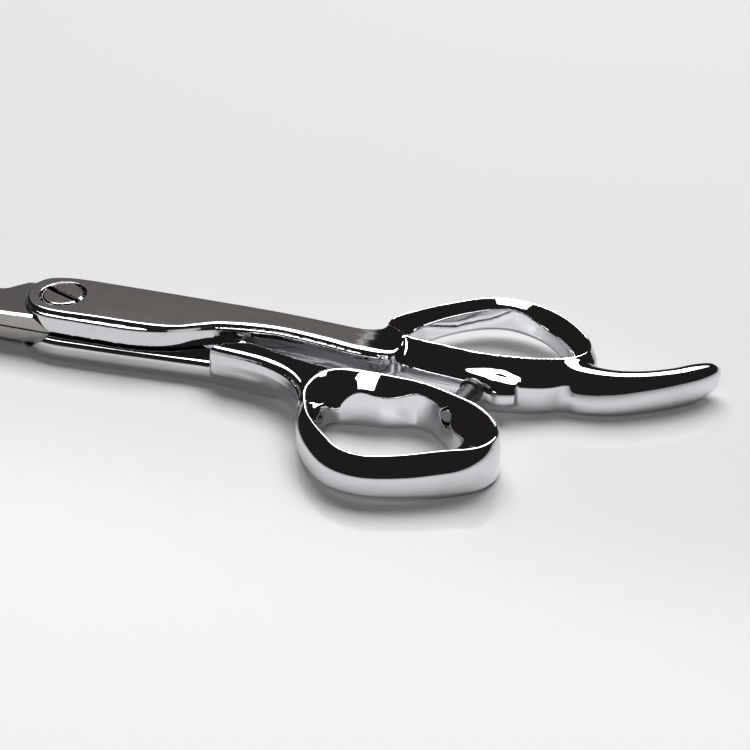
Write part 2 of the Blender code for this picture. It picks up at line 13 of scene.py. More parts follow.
import bmesh
import bpy
import numpy as np
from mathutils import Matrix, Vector


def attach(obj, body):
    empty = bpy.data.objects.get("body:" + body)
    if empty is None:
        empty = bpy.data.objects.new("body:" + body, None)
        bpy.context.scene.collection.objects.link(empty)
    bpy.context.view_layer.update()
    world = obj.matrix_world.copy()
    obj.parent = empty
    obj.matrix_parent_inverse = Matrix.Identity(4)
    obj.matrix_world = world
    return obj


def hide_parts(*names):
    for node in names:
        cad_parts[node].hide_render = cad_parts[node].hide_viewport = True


MM = 0.001
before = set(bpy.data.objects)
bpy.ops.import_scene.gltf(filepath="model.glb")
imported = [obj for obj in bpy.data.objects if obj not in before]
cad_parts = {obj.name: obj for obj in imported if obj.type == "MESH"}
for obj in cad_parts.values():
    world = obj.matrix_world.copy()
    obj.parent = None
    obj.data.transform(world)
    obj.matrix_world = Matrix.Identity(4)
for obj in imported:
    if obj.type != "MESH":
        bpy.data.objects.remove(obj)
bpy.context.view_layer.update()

THICKNESS = 7.6            # height of the handles' top faces
MID = THICKNESS / 2        # height of the lap, where the two halves meet
LAP = 0.15                 # half of the gap between the two halves

CELL = 0.22
SCREW_CELL = 0.12
SPINE_STEP = 0.15          # between samples along a guide curve
BATCH = 20000              # points compared with a guide at a time
NUDGE = 0.02               # half of the step over which a field's slope is measured
SLIDES = 4                 # times that the vertices slide towards the surface
MARGIN_CELLS = 3           # cells between a mesh's box and the edge of its grid
LEAST_SLOPE = 0.05         # squared; a slide treats a flatter field as this steep


# ---------------------------------------------------------------- camera and studio
CAMERA_TARGET = Vector((54.3, -0.5, 4.0))
CAMERA_AZIMUTH = math.radians(20.0)       # from -Y towards +X
CAMERA_ELEVATION = math.radians(32.6)
CAMERA_DISTANCE = 324.0
CAMERA_VIEW = math.radians(20.5)
SENSOR_WIDTH = 36.0
FLOOR_HALF_WIDTH = 2.2                    # in metres, like the places and sizes of the lights
FLOOR_DROP = 0.1                          # how far the floor lies below the shears


def add_camera():
    level = math.cos(CAMERA_ELEVATION)
    back = Vector((math.sin(CAMERA_AZIMUTH) * level, -math.cos(CAMERA_AZIMUTH) * level,
                   math.sin(CAMERA_ELEVATION)))
    data = bpy.data.cameras.new("camera")
    data.sensor_width = SENSOR_WIDTH
    data.lens = SENSOR_WIDTH / 2 / math.tan(CAMERA_VIEW / 2)
    data.clip_start = 0.01
    camera = bpy.data.objects.new("camera", data)
    bpy.context.scene.collection.objects.link(camera)
    camera.location = (CAMERA_TARGET + back * CAMERA_DISTANCE) * MM
    camera.rotation_euler = back.to_track_quat("Z", "Y").to_euler()
    bpy.context.scene.camera = camera


def new_material(name):
    made = bpy.data.materials.new(name)
    made.use_nodes = True
    tree = made.node_tree
    return made, tree, tree.nodes["Principled BSDF"]


def add_floor():
    bm = bmesh.new()
    bmesh.ops.create_grid(bm, x_segments=1, y_segments=1, size=FLOOR_HALF_WIDTH)
    mesh = bpy.data.meshes.new("floor")
    bm.to_mesh(mesh)
    bm.free()
    floor = bpy.data.objects.new("floor", mesh)
    bpy.context.scene.collection.objects.link(floor)
    floor.location = (0, 0, -FLOOR_DROP * MM)
    made, _, shader = new_material("floor_white")
    shader.inputs["Base Color"].default_value = (0.80, 0.80, 0.815, 1)
    shader.inputs["Roughness"].default_value = 0.16
    shader.inputs["Specular IOR Level"].default_value = 0.22
    mesh.materials.append(made)


def add_area(name, location, aim, width, depth, power):
    """A rectangular light that faces a point; metres and watts."""
    data = bpy.data.lights.new(name, "AREA")
    data.shape = "RECTANGLE"
    data.size = width
    data.size_y = depth
    data.energy = power
    light = bpy.data.objects.new(name, data)
    bpy.context.scene.collection.objects.link(light)
    light.location = location
    light.rotation_euler = (Vector(location) - Vector(aim)).to_track_quat("Z", "Y").to_euler()
    return light


def add_lights():
    """A nearly black surround, a large light from behind, and a weak fill that reflections don't show."""
    world = bpy.data.worlds.new("studio")
    bpy.context.scene.world = world
    world.use_nodes = True
    background = world.node_tree.nodes["Background"]
    background.inputs["Color"].default_value = (0.016, 0.0145, 0.0135, 1)
    background.inputs["Strength"].default_value = 1.0
    add_area("back_softbox", location=(-0.04, 0.62, 0.92), aim=(-0.04, 0.0, 0.0),
             width=1.15, depth=0.66, power=15.7)
    fill = add_area("front_fill", location=(0.15, -0.75, 0.75), aim=(0.06, 0.0, 0.0),
                    width=0.6, depth=0.4, power=2.0)
    fill.visible_glossy = False


# ---------------------------------------------------------------- distance fields
def smooth_line(points, step, closed):
    """A Catmull-Rom curve through the points, sampled about every step.

    Numbers after a point's x and y are carried along."""
    control = np.array(points, float)
    count = len(control)
    spans = count if closed else count - 1
    pieces = []
    for index in range(spans):
        if closed:
            a, b, c, d = (control[(index + k) % count] for k in (-1, 0, 1, 2))
        else:
            a, b, c, d = (control[min(max(index + k, 0), count - 1)] for k in (-1, 0, 1, 2))
        samples = max(2, int(np.linalg.norm((c - b)[:2]) / step))
        t = (np.arange(samples) / samples)[:, None]
        pieces.append(0.5 * (2 * b + (c - a) * t + (2 * a - 5 * b + 4 * c - d) * t ** 2
                             + (3 * b - a - 3 * c + d) * t ** 3))
    if not closed:
        pieces.append(control[-1:])
    return np.concatenate(pieces)


class Guide:
    """A flat curve that gives each point its place along it and its signed distance to the side.

    The shapes below are built on a guide. Each turns those measures into a value that is negative inside
    the shape and, near its surface, close to the distance from it."""

    def __init__(self, points, closed):
        line = smooth_line(points, SPINE_STEP, closed)
        self.closed = closed
        self.spots = line[:, :2]
        self.facts = line[:, 2:]
        ahead = np.roll(self.spots, -1, 0) - np.roll(self.spots, 1, 0)
        if not closed:
            ahead[0] = self.spots[1] - self.spots[0]
            ahead[-1] = self.spots[-1] - self.spots[-2]
        self.along = ahead / np.linalg.norm(ahead, axis=1)[:, None]
        x, y = self.spots.T
        area = np.sum(x * np.roll(y, -1) - y * np.roll(x, -1))
        self.turn = 1.0 if area > 0 else -1.0

    def nearest(self, spots):
        """For each spot, the index of the guide's closest sample."""
        found = np.empty(len(spots), int)
        own = (self.spots ** 2).sum(1)
        for start in range(0, len(spots), BATCH):
            batch = spots[start:start + BATCH]
            found[start:start + BATCH] = np.argmin(own[None, :] - 2 * batch @ self.spots.T, 1)
        return found

    def measure(self, spots, index):
        """Signed side distance, overshoot past an end, and the facts carried along.

        On a closed curve, outwards is positive."""
        offset = spots - self.spots[index]
        along = self.along[index]
        ahead = (offset * along).sum(1)
        side = (offset[:, 0] * along[:, 1] - offset[:, 1] * along[:, 0]) * self.turn
        count = len(self.spots)
        step = np.where(ahead > 0, 1, -1)
        other = (index + step) % count if self.closed else np.clip(index + step, 0, count - 1)
        gap = np.linalg.norm(self.spots[other] - self.spots[index], axis=1)
        share = np.clip(np.abs(ahead) / np.maximum(gap, 1e-6), 0, 1)
        facts = self.facts[index] * (1 - share[:, None]) + self.facts[other] * share[:, None]
        past = np.where(other == index, np.abs(ahead), 0.0)
        return side, past, facts

    def value(self, points, index):
        """Signed side distance, whatever the points' height."""
        return self.measure(points[:, :2], index)[0]


def smooth_min(a, b, radius):
    """The smaller of two distances, rounded where they meet."""
    blend = np.maximum(radius - np.abs(a - b), 0) / radius
    return np.minimum(a, b) - blend * blend * radius / 4


def smooth_max(a, b, radius):
    """The larger of two distances, rounded where they meet."""
    return -smooth_min(-a, -b, radius)


def upright(from_axis, z, radius, low, high):
    """Value of an upright cylinder."""
    return np.maximum(np.maximum(from_axis - radius, z - high), low - z)


def oval(side, up, half_width, half_height, exponent):
    """Distance to a superellipse, close to true near its surface."""
    u = np.abs(side) / half_width
    w = np.abs(up) / half_height
    size = np.maximum((u ** exponent + w ** exponent) ** (1 / exponent), 0.05)
    steepness = np.hypot(u ** (exponent - 1) / half_width, w ** (exponent - 1) / half_height)
    slope = size ** (1 - exponent) * steepness
    return (size - 1) / np.maximum(slope, 0.1)


class Sweep(Guide):
    """Rounded sections along an open guide.

    Each station holds x, y, half width, lowest z, highest z, and the share of the height where the section
    is widest. Upper and lower are the superellipse exponents above and below that."""

    def __init__(self, stations, upper, lower):
        super().__init__(stations, False)
        self.upper = upper
        self.lower = lower

    def value(self, points, index):
        side, past, facts = self.measure(points[:, :2], index)
        half_width, low, high, widest = facts.T
        up = points[:, 2] - (low + widest * (high - low))
        reach = np.where(up > 0, 1 - widest, widest) * (high - low)
        body = oval(side, up, half_width, reach, np.where(up > 0, self.upper, self.lower))
        return np.where(past > 0, np.hypot(np.maximum(body, 0), past), body)


class Ring(Guide):
    """A closed wall round a finger hole.

    Each station holds x, y, half width, lowest z, highest z, how far out the crest lies, how steeply the
    wall falls from the crest to the inside and to the outside, and how far the inner wall leans out for
    each mm of height."""

    BROW_RADIUS = 0.5          # where the inner wall meets the top
    CREST_RADIUS = 0.35
    OUTER_RADIUS = 0.6         # where the outer wall meets the top
    FOOT_RADIUS = 0.9

    def __init__(self, stations):
        super().__init__(stations, True)

    def value(self, points, index):
        side, _, facts = self.measure(points[:, :2], index)
        half_width, low, high, crest, fall_in, fall_out, lean = facts.T
        z = points[:, 2]
        outer = side - half_width
        inner = (lean * (z - low) - side - half_width) / np.hypot(1, lean)
        to_inside = (z - high + fall_in * (crest - side)) / np.hypot(1, fall_in)
        to_outside = (z - high + fall_out * (side - crest)) / np.hypot(1, fall_out)
        top = smooth_max(to_inside, to_outside, self.CREST_RADIUS)
        body = smooth_max(top, inner, self.BROW_RADIUS)
        body = smooth_max(body, outer, self.OUTER_RADIUS)
        return smooth_max(body, low - z, self.FOOT_RADIUS)


class Plate(Guide):
    """An outline between two heights: a flat face, a soft edge, a shoulder, a wall, and the lower edge.

    Each outline point holds x, y, how far down the shoulder reaches, how wide the soft edge is, and how
    far the top layer stands back from the wall."""

    WALL_DRAFT = 0.09          # how far the wall leans in for each mm away from where it is widest
    SHOULDER_DRAFT = 0.45      # how far the shoulder leans in for each mm of height
    SHOULDER_IN = 0.12         # how far inside the wall the shoulder starts
    SHOULDER_SCALE = 0.9       # turns the shoulder's value into about a distance
    EDGE_FALL = 0.22           # how steeply the soft edge falls
    STEP_DOWN = 0.65           # how far the lower layer lies below the flat face
    SHOULDER_RADIUS = 0.4      # where the wall meets the shoulder
    EDGE_RADIUS = 0.35         # where either layer's wall meets its edge
    CRISP_RADIUS = 0.05

    def __init__(self, outline, low, high, widest, foot_radius):
        super().__init__(outline, True)
        self.low = low
        self.high = high
        self.widest = widest
        self.foot_radius = foot_radius

    def value(self, points, index):
        side, _, facts = self.measure(points[:, :2], index)
        down, edge_width, step_back = facts.T
        z = points[:, 2]
        wall = side + self.WALL_DRAFT * np.abs(z - self.widest)
        top = side + step_back
        lean = self.SHOULDER_DRAFT * (z - self.high + down)
        shoulder = (top + self.SHOULDER_IN + lean) * self.SHOULDER_SCALE
        edge_in = self.SHOULDER_IN + self.SHOULDER_DRAFT * down + edge_width
        edge = (z - self.high + self.EDGE_FALL * (top + edge_in)) / math.hypot(1, self.EDGE_FALL)
        layer = smooth_max(wall + step_back, shoulder, self.SHOULDER_RADIUS)
        layer = smooth_max(layer, edge, self.EDGE_RADIUS)
        layer = smooth_max(layer, z - self.high, self.CRISP_RADIUS)
        lower = smooth_max(wall, z - self.high + self.STEP_DOWN, self.EDGE_RADIUS)
        body = smooth_min(layer, lower, self.CRISP_RADIUS)
        return smooth_max(body, self.low - z, self.foot_radius)


class Ledge(Guide):
    """An outline between two heights: a rounded upper edge, and a wall that leans in below it."""

    WALL_DRAFT = 0.09          # how far the wall leans in for each mm below its top
    EDGE_RADIUS = 1.1
    FOOT_RADIUS = 0.3

    def __init__(self, outline, low, high):
        super().__init__(outline, True)
        self.low = low
        self.high = high

    def value(self, points, index):
        side = self.measure(points[:, :2], index)[0]
        z = points[:, 2]
        wall = side + self.WALL_DRAFT * (self.high - z)
        body = smooth_max(wall, z - self.high, self.EDGE_RADIUS)
        return smooth_max(body, self.low - z, self.FOOT_RADIUS)


def surface_nets(values, origin, cell):
    """Vertices and quads of the zero surface of a sampled field.

    Each cell that the surface crosses gets one vertex, at the mean of the crossings on the cell's edges.
    Each crossed edge gets a quad between the four cells round it."""
    inside = values < 0
    shape = tuple(n - 1 for n in values.shape)
    total = np.zeros(shape + (3,))
    count = np.zeros(shape)
    crossings = []
    for axis in range(3):
        low = [slice(None)] * 3
        high = [slice(None)] * 3
        low[axis], high[axis] = slice(None, -1), slice(1, None)
        a, b = values[tuple(low)], values[tuple(high)]
        cross = inside[tuple(low)] != inside[tuple(high)]
        spots = np.argwhere(cross)
        share = a[cross] / (a[cross] - b[cross])
        crossing = spots.astype(float)
        crossing[:, axis] += share
        others = [k for k in range(3) if k != axis]
        cells = []
        for first in (0, 1):
            for second in (0, 1):
                cell_at = spots.copy()
                cell_at[:, others[0]] -= first
                cell_at[:, others[1]] -= second
                good = np.all((cell_at >= 0) & (cell_at < shape), 1)
                np.add.at(total, tuple(cell_at[good].T), crossing[good])
                np.add.at(count, tuple(cell_at[good].T), 1)
                cells.append(cell_at)
        crossings.append((spots, cells, inside[tuple(low)][cross], axis))
    active = count > 0
    number = np.full(shape, -1)
    number[active] = np.arange(active.sum())
    vertices = total[active] / count[active][:, None] * cell + origin
    quads = []
    for spots, cells, starts_inside, axis in crossings:
        good = np.all([np.all((c >= 0) & (c < shape), 1) for c in cells], 0)
        corners = [number[tuple(c[good].T)] for c in (cells[3], cells[1], cells[0], cells[2])]
        faces = np.stack(corners, 1)
        flip = starts_inside[good] if axis == 1 else ~starts_inside[good]
        faces[flip] = faces[flip][:, ::-1]
        quads.append(faces)
    return vertices, np.concatenate(quads)


def mesh_field(name, parts, combine, low, high, cell=CELL):
    """Meshes the surface where combine(points, values of the parts) is zero, inside a box.

    Each vertex then slides onto the true surface, at most half a cell at a time."""

    def field(points, found):
        return combine(points, [part.value(points, index) for part, index in zip(parts, found)])

    low = np.array(low, float) - MARGIN_CELLS * cell
    high = np.array(high, float) + MARGIN_CELLS * cell
    axes = [np.arange(a, b + cell, cell) for a, b in zip(low, high)]
    grid = np.stack(np.meshgrid(axes[0], axes[1], indexing="ij"), -1).reshape(-1, 2)
    found = [part.nearest(grid) for part in parts]
    values = np.empty((len(axes[0]), len(axes[1]), len(axes[2])))
    for k, z in enumerate(axes[2]):
        points = np.column_stack([grid, np.full(len(grid), z)])
        values[:, :, k] = field(points, found).reshape(values.shape[:2])
    vertices, quads = surface_nets(values, low, cell)
    for _ in range(SLIDES):
        found = [part.nearest(vertices[:, :2]) for part in parts]
        slope = np.stack([(field(vertices + d, found) - field(vertices - d, found)) / (2 * NUDGE)
                          for d in np.eye(3) * NUDGE], 1)
        length2 = np.maximum((slope ** 2).sum(1), LEAST_SLOPE)
        move = -(field(vertices, found) / length2)[:, None] * slope
        size = np.linalg.norm(move, axis=1)
        limit = np.minimum(1.0, 0.5 * cell / np.maximum(size, 1e-9))
        vertices = vertices + move * limit[:, None]
    normals = slope / np.sqrt(length2)[:, None]
    mesh = bpy.data.meshes.new(name)
    mesh.from_pydata((vertices * MM).tolist(), [], quads.tolist())
    mesh.shade_smooth()
    mesh.normals_split_custom_set_from_vertices(normals.tolist())
    made = bpy.data.objects.new(name, mesh)
    bpy.context.scene.collection.objects.link(made)
    return made


# ---------------------------------------------------------------- the upper handle, with the finger ring
# What the numbers after x and y mean is said in the class that reads the outline or the stations.
UPPER_PAD = [
    (-6.5, 0.2, 0.6, 0.3, 0), (-6.3, -1.4, 0.8, 0.3, 0), (-5.5, -3.4, 1.2, 0.3, 0),
    (-3.7, -5.4, 1.6, 0.4, 0), (-1.2, -6.4, 2.1, 0.5, 0), (2.1, -6.5, 2.1, 0.5, 0),
    (9.2, -6.1, 2.6, 0.5, 0), (14.2, -5.75, 2.5, 0.5, 0), (18.3, -4.9, 1.5, 0.6, 0),
    (22.1, -3.5, 0.4, 0.7, 0), (24.9, -2.0, 0.35, 0.8, 0.05), (28.0, -0.7, 0.3, 0.9, 0.35),
    (33.0, 0.4, 0.3, 1.0, 0.4), (38.0, 0.9, 0.3, 1.0, 0.4), (45.0, 0.4, 0.3, 1.1, 0.4),
    (51.0, -0.2, 0.3, 1.1, 0.3), (56.5, 0.6, 0.4, 0.8, 0), (57.5, 4.0, 0.4, 0.3, 0),
    (56.0, 8.0, 0.4, 0.3, 0), (53.6, 9.0, 0.4, 0.2, 0), (52.0, 7.7, 0.3, 0.2, 0), (49.5, 6.9, 0.2, 0.2, 0),
    (44.4, 7.0, 0.2, 0.2, 0), (35.0, 7.2, 0.2, 0.2, 0), (21.7, 6.8, 0.2, 0.2, 0), (9.4, 6.3, 0.2, 0.2, 0),
    (1.0, 5.85, 0.2, 0.2, 0), (-2.8, 5.1, 0.2, 0.2, 0), (-4.9, 4.0, 0.3, 0.2, 0), (-6.1, 2.2, 0.4, 0.2, 0),
]
UPPER_RIB_LOW = 0.35
UPPER_RIB_HIGH = 6.3
UPPER_RIB = [
    (26.9, 1.1), (29.5, 0.3), (33.0, 0.6), (38.0, 1.0), (45.0, 0.6), (51.0, 0.0), (56.5, 0.9), (57.5, 4.0),
    (56.0, 8.0), (53.4, 8.9), (51.5, 7.6), (49.0, 6.8), (44.0, 7.0), (36.0, 7.2), (27.6, 6.8), (26.2, 4.0),
]
FLUTE_RADIUS = 3.4         # of the round groove along the rib's side
FLUTE_HEIGHT = 4.2
FLUTE = [
    (24.0, -4.6), (28.0, -2.9), (33.0, -2.3), (38.0, -1.9), (44.0, -2.2), (50.0, -3.0), (56.0, -3.8),
]
FINGER_RING = [
    (57.0, 5.0, 2.5, 0.1, 7.6, -2.1, 1.6, 0.6, 0.03), (63.0, 4.2, 2.8, 0.1, 7.6, -2.5, 1.6, 0.43, 0.03),
    (69.0, 3.9, 2.8, 0.1, 7.6, -2.5, 1.6, 0.43, 0.03), (74.5, 4.5, 2.8, 0.1, 7.6, -2.4, 1.6, 0.43, 0.03),
    (79.8, 6.1, 2.7, 0.1, 7.6, -2.1, 1.6, 0.5, 0.05), (83.4, 9.4, 2.7, 0.3, 7.5, -0.6, 1.2, 0.7, 0.1),
    (84.0, 13.6, 2.4, 1.0, 7.3, 1.0, 0.9, 1.8, 0.2), (81.4, 17.9, 2.0, 1.6, 7.2, 1.1, 0.9, 2.6, 0.2),
    (76.6, 21.8, 1.8, 1.9, 7.1, 1.1, 0.8, 2.8, 0.15), (70.6, 23.6, 1.7, 2.0, 7.1, 1.1, 0.26, 2.8, 0.1),
    (65.6, 22.7, 1.6, 2.0, 7.1, 1.0, 0.45, 2.8, 0.15), (60.8, 19.4, 1.4, 1.9, 7.1, 0.9, 0.8, 2.8, 0.2),
    (56.4, 15.0, 1.5, 1.6, 7.2, 1.0, 1.0, 2.6, 0.2), (54.1, 11.2, 1.9, 1.0, 7.3, 1.3, 1.0, 2.4, 0.2),
    (54.2, 7.6, 2.3, 0.4, 7.5, 0.0, 1.4, 1.8, 0.1),
]
FINGER_REST = [
    (81.0, 9.4, 3.7, 0.3, 6.9, 0.2), (85.5, 8.6, 3.7, 0.1, 6.8, 0.16), (90.0, 9.0, 3.0, 0.1, 6.6, 0.22),
    (94.5, 10.8, 2.4, 0.1, 6.4, 0.36), (98.5, 13.3, 2.1, 0.2, 6.3, 0.46),
    (101.6, 16.0, 2.0, 0.5, 6.2, 0.5), (103.6, 18.0, 1.5, 1.3, 5.7, 0.5),
    (104.6, 19.1, 0.6, 2.6, 4.6, 0.5),
]
LUG = [
    (54.0, 3.8, 0.9, 2.0, 5.0, 0.4), (58.0, 3.4, 1.2, 2.0, 5.0, 0.4), (63.0, 3.0, 1.4, 2.0, 5.2, 0.4),
    (68.0, 2.8, 1.5, 2.0, 5.5, 0.5), (71.5, 2.6, 2.0, 1.9, 6.0, 0.5), (74.0, 2.2, 2.5, 1.8, 6.2, 0.5),
    (76.4, 2.5, 1.8, 2.2, 5.6, 0.5),
]
SEAT_END = 0.6             # x where the blades' seats end, at the lap
SEAT_SLOPE = 1.28          # how far towards the blades a seat's end leans for each mm away from the lap
SEAT_DEPTH = 2.63          # of a seat, from the lap
WELL_RADIUS = 3.75         # of the recess round the screw's head
WELL_FLOOR = 6.2


def blade_seat(x, away):
    """Negative in the notch that holds a blade.

    Away is the distance from the lap towards the half's own outer face."""
    return smooth_max(x - SEAT_END + away * SEAT_SLOPE, away - SEAT_DEPTH, radius=0.1)


def finger_handle():
    parts = [Plate(UPPER_PAD, low=MID + LAP, high=THICKNESS, widest=MID, foot_radius=0.15),
             Ledge(UPPER_RIB, low=UPPER_RIB_LOW, high=UPPER_RIB_HIGH),
             Ring(FINGER_RING),
             Sweep(FINGER_REST, upper=2.2, lower=4.0),
             Sweep(LUG, upper=2.0, lower=4.0),
             Guide(FLUTE, closed=False)]

    def combine(points, values):
        pad, rib, ring, rest, lug, flute = values
        x, y, z = points.T
        rib = smooth_max(rib, FLUTE_RADIUS - np.hypot(flute, z - FLUTE_HEIGHT), radius=0.3)
        body = smooth_min(pad, rib, radius=0.3)
        body = smooth_min(body, smooth_min(ring, rest, radius=0.9), radius=1.2)
        body = smooth_min(body, lug, radius=0.8)
        body = smooth_max(body, z - THICKNESS, radius=0.1)
        body = smooth_max(body, -blade_seat(x, z - MID), radius=0.15)
        well = np.maximum(np.hypot(x, y) - WELL_RADIUS, WELL_FLOOR - z)
        return np.maximum(body, -well)

    return mesh_field("finger_handle_chrome", parts, combine, (-6, -7, 0), (106.5, 26, THICKNESS))


# ---------------------------------------------------------------- the lower handle, with the thumb ring
LOWER_PAD = [
    (-6.6, -1.2), (-6.4, -3.6), (-5.6, -5.7), (-3.2, -7.6), (1.2, -8.45), (6.9, -8.1), (13.8, -7.5),
    (20.5, -6.8), (28.4, -6.1), (34.0, -6.5), (37.5, -6.8), (40.0, -6.6), (40.0, -4.0), (34.0, -2.9),
    (29.5, -1.3), (26.4, 0.3), (22.0, 2.2), (16.0, 4.0), (9.0, 4.9), (1.0, 5.2), (-3.2, 4.3), (-5.6, 1.8),
]
RISE_LOW = 1.3
RISE_HIGH = 6.9
RISE_WIDEST = 4.6
LOWER_RISE = [
    (28.7, -6.2, 0.4, 0.5, 0), (32.0, -6.5, 0.4, 0.6, 0), (36.0, -6.8, 0.6, 0.6, 0),
    (39.0, -7.5, 1.0, 0.6, 0), (42.0, -8.8, 1.4, 0.5, 0), (44.5, -10.8, 1.6, 0.4, 0),
    (46.6, -13.8, 1.6, 0.4, 0), (47.5, -14.3, 1.0, 0.4, 0), (48.0, -11.0, 0.6, 0.4, 0),
    (49.5, -7.9, 0.5, 0.4, 0), (53.2, -5.4, 0.5, 0.4, 0), (52.5, -4.6, 0.4, 0.3, 0),
    (48.0, -4.6, 0.3, 0.2, 0), (44.0, -4.2, 0.3, 0.2, 0), (40.0, -3.5, 0.3, 0.2, 0),
    (36.4, -2.6, 0.3, 0.2, 0), (33.8, -2.3, 0.3, 0.2, 0), (30.8, -3.3, 0.3, 0.2, 0),
    (29.0, -5.0, 0.3, 0.3, 0),
]
THUMB_RING = [
    (50.2, -8.4, 2.7, 0.4, 7.6, 2.1, 0.9, 3.0, 0.05), (54.2, -6.9, 2.6, 0.1, 7.6, 2.0, 0.26, 3.0, 0.03),
    (58.8, -6.5, 2.3, 0.1, 7.6, 1.7, 0.45, 3.0, 0.05), (63.6, -5.9, 1.4, 0.1, 7.6, 0.9, 0.6, 3.0, 0.1),
    (68.3, -7.4, 1.8, 0.1, 7.6, 1.2, 0.6, 3.0, 0.1), (72.6, -10.3, 2.8, 0.2, 7.6, 2.3, 0.5, 3.0, 0.05),
    (75.9, -14.2, 3.0, 0.3, 7.6, 2.5, 0.3, 3.0, 0.04), (75.9, -17.9, 2.6, 0.3, 7.6, 1.6, 0.3, 1.6, 0.04),
    (72.4, -21.4, 2.2, 0.5, 7.3, -0.5, 1.0, 0.8, 0.03),
    (67.2, -24.5, 1.9, 0.7, 6.9, -1.2, 2.0, 0.62, 0.03),
    (61.6, -26.3, 1.8, 0.8, 6.7, -1.2, 2.0, 0.6, 0.03), (56.8, -25.5, 1.8, 0.8, 6.7, -1.2, 2.0, 0.6, 0.03),
    (52.6, -22.1, 1.7, 0.8, 6.8, -1.0, 2.0, 0.7, 0.03), (49.6, -17.2, 1.9, 0.8, 6.9, 0.2, 1.2, 1.2, 0.1),
    (48.7, -12.4, 1.9, 0.8, 7.4, 1.3, 1.0, 2.6, 0.1),
]
STUD_BASE = (69.6, -5.4, 5.0)       # the bumper stud's axis
STUD_TOWARDS = (70.6, 0.6, 5.2)
STUD_HOLE_RADIUS = 1.3
STUD_HOLE_BACK = 7.0                # how far the hole reaches behind the stud's base


def stud_hole(points):
    """Negative inside the hole through the thumb ring that holds the bumper's stud."""
    base = np.array(STUD_BASE)
    axis = np.array(STUD_TOWARDS) - base
    axis = axis / np.linalg.norm(axis)
    away = points - base
    run = away @ axis
    from_axis = np.linalg.norm(away - np.outer(run, axis), axis=1)
    return np.maximum(from_axis - STUD_HOLE_RADIUS, -STUD_HOLE_BACK - run)


def thumb_handle():
    parts = [Ledge(LOWER_PAD, low=0.0, high=MID - LAP),
             Plate(LOWER_RISE, low=RISE_LOW, high=RISE_HIGH, widest=RISE_WIDEST, foot_radius=1.0),
             Ring(THUMB_RING)]

    def combine(points, values):
        pad, rise, ring = values
        x, _, z = points.T
        body = smooth_min(pad, rise, radius=0.3)
        body = smooth_min(body, ring, radius=1.4)
        body = smooth_max(body, np.maximum(z - THICKNESS, -z), radius=0.1)
        body = smooth_max(body, -stud_hole(points), radius=0.2)
        return smooth_max(body, -blade_seat(x, MID - z), radius=0.15)

    return mesh_field("thumb_handle_chrome", parts, combine, (-6, -29, 0), (81, 6, THICKNESS))


# ---------------------------------------------------------------- the pivot screw
HEAD_RADIUS = 3.55
HEAD_LOW = 6.6
BEVEL_RADIUS = 3.3                  # of the head's bevel, at the top face
BEVEL_SPREAD = 2.0                  # how far the bevel widens for each mm down
BEVEL_SCALE = 0.45                  # turns the bevel's value into about a distance
SHANK_RADIUS = 2.3
SHANK_LOW = 3.2
THREAD_RADIUS = 1.8
THREAD_LOW = 0.05
SCREW_OVERLAP = 0.2                 # how far the shank and the thread reach into what is above them
SLOT_HALF_WIDTH = 0.5
SLOT_FLOOR = 6.95
SLOT_ANGLE = math.radians(-18.5)


def pivot_screw():
    def combine(points, values):
        x, y, z = points.T
        from_axis = np.hypot(x, y)
        head = smooth_max(from_axis - HEAD_RADIUS, z - THICKNESS, radius=0.5)
        bevel = (from_axis - BEVEL_RADIUS + (z - THICKNESS) * BEVEL_SPREAD) * BEVEL_SCALE
        head = np.maximum(smooth_max(head, bevel, radius=0.15), HEAD_LOW - z)
        shank = upright(from_axis, z, SHANK_RADIUS, SHANK_LOW, HEAD_LOW + SCREW_OVERLAP)
        thread = upright(from_axis, z, THREAD_RADIUS, THREAD_LOW, SHANK_LOW + SCREW_OVERLAP)
        across = np.abs(y * math.cos(SLOT_ANGLE) - x * math.sin(SLOT_ANGLE))
        slot = smooth_max(across - SLOT_HALF_WIDTH, SLOT_FLOOR - z, radius=0.15)
        return smooth_max(np.minimum(np.minimum(head, shank), thread), -slot, radius=0.12)

    return mesh_field("pivot_screw_steel", [], combine, (-3.6, -3.6, 0), (3.6, 3.6, THICKNESS), SCREW_CELL)


# ---------------------------------------------------------------- material nodes
def wire(tree, value, socket):
    """Links an output, or sets a constant, on a socket."""
    if isinstance(value, bpy.types.NodeSocket):
        tree.links.new(value, socket)
    else:
        socket.default_value = value


def calculate(tree, operation, first, second=0.5, third=0.5):
    node = tree.nodes.new("ShaderNodeMath")
    node.operation = operation
    for value, socket in zip((first, second, third), node.inputs):
        wire(tree, value, socket)
    return node.outputs[0]


def times(tree, first, second):
    return calculate(tree, "MULTIPLY", first, second)


def ramp_between(tree, value, low, high):
    """Rises smoothly from 0 at low to 1 at high, or falls when high is below low."""
    node = tree.nodes.new("ShaderNodeMapRange")
    node.interpolation_type = "SMOOTHSTEP"
    wire(tree, value, node.inputs["Value"])
    node.inputs["From Min"].default_value = min(low, high)
    node.inputs["From Max"].default_value = max(low, high)
    if high < low:
        node.inputs["To Min"].default_value = 1.0
        node.inputs["To Max"].default_value = 0.0
    return node.outputs["Result"]


def mix_colors(tree, factor, first, second):
    """The Mix node has its colour sockets at inputs 6 and 7 and output 2."""
    node = tree.nodes.new("ShaderNodeMix")
    node.data_type = "RGBA"
    wire(tree, factor, node.inputs["Factor"])
    wire(tree, first, node.inputs[6])
    wire(tree, second, node.inputs[7])
    return node.outputs[2]


def mix_values(tree, factor, first, second):
    """The Mix node has its number sockets at inputs 2 and 3 and output 0."""
    node = tree.nodes.new("ShaderNodeMix")
    wire(tree, factor, node.inputs["Factor"])
    wire(tree, first, node.inputs[2])
    wire(tree, second, node.inputs[3])
    return node.outputs[0]


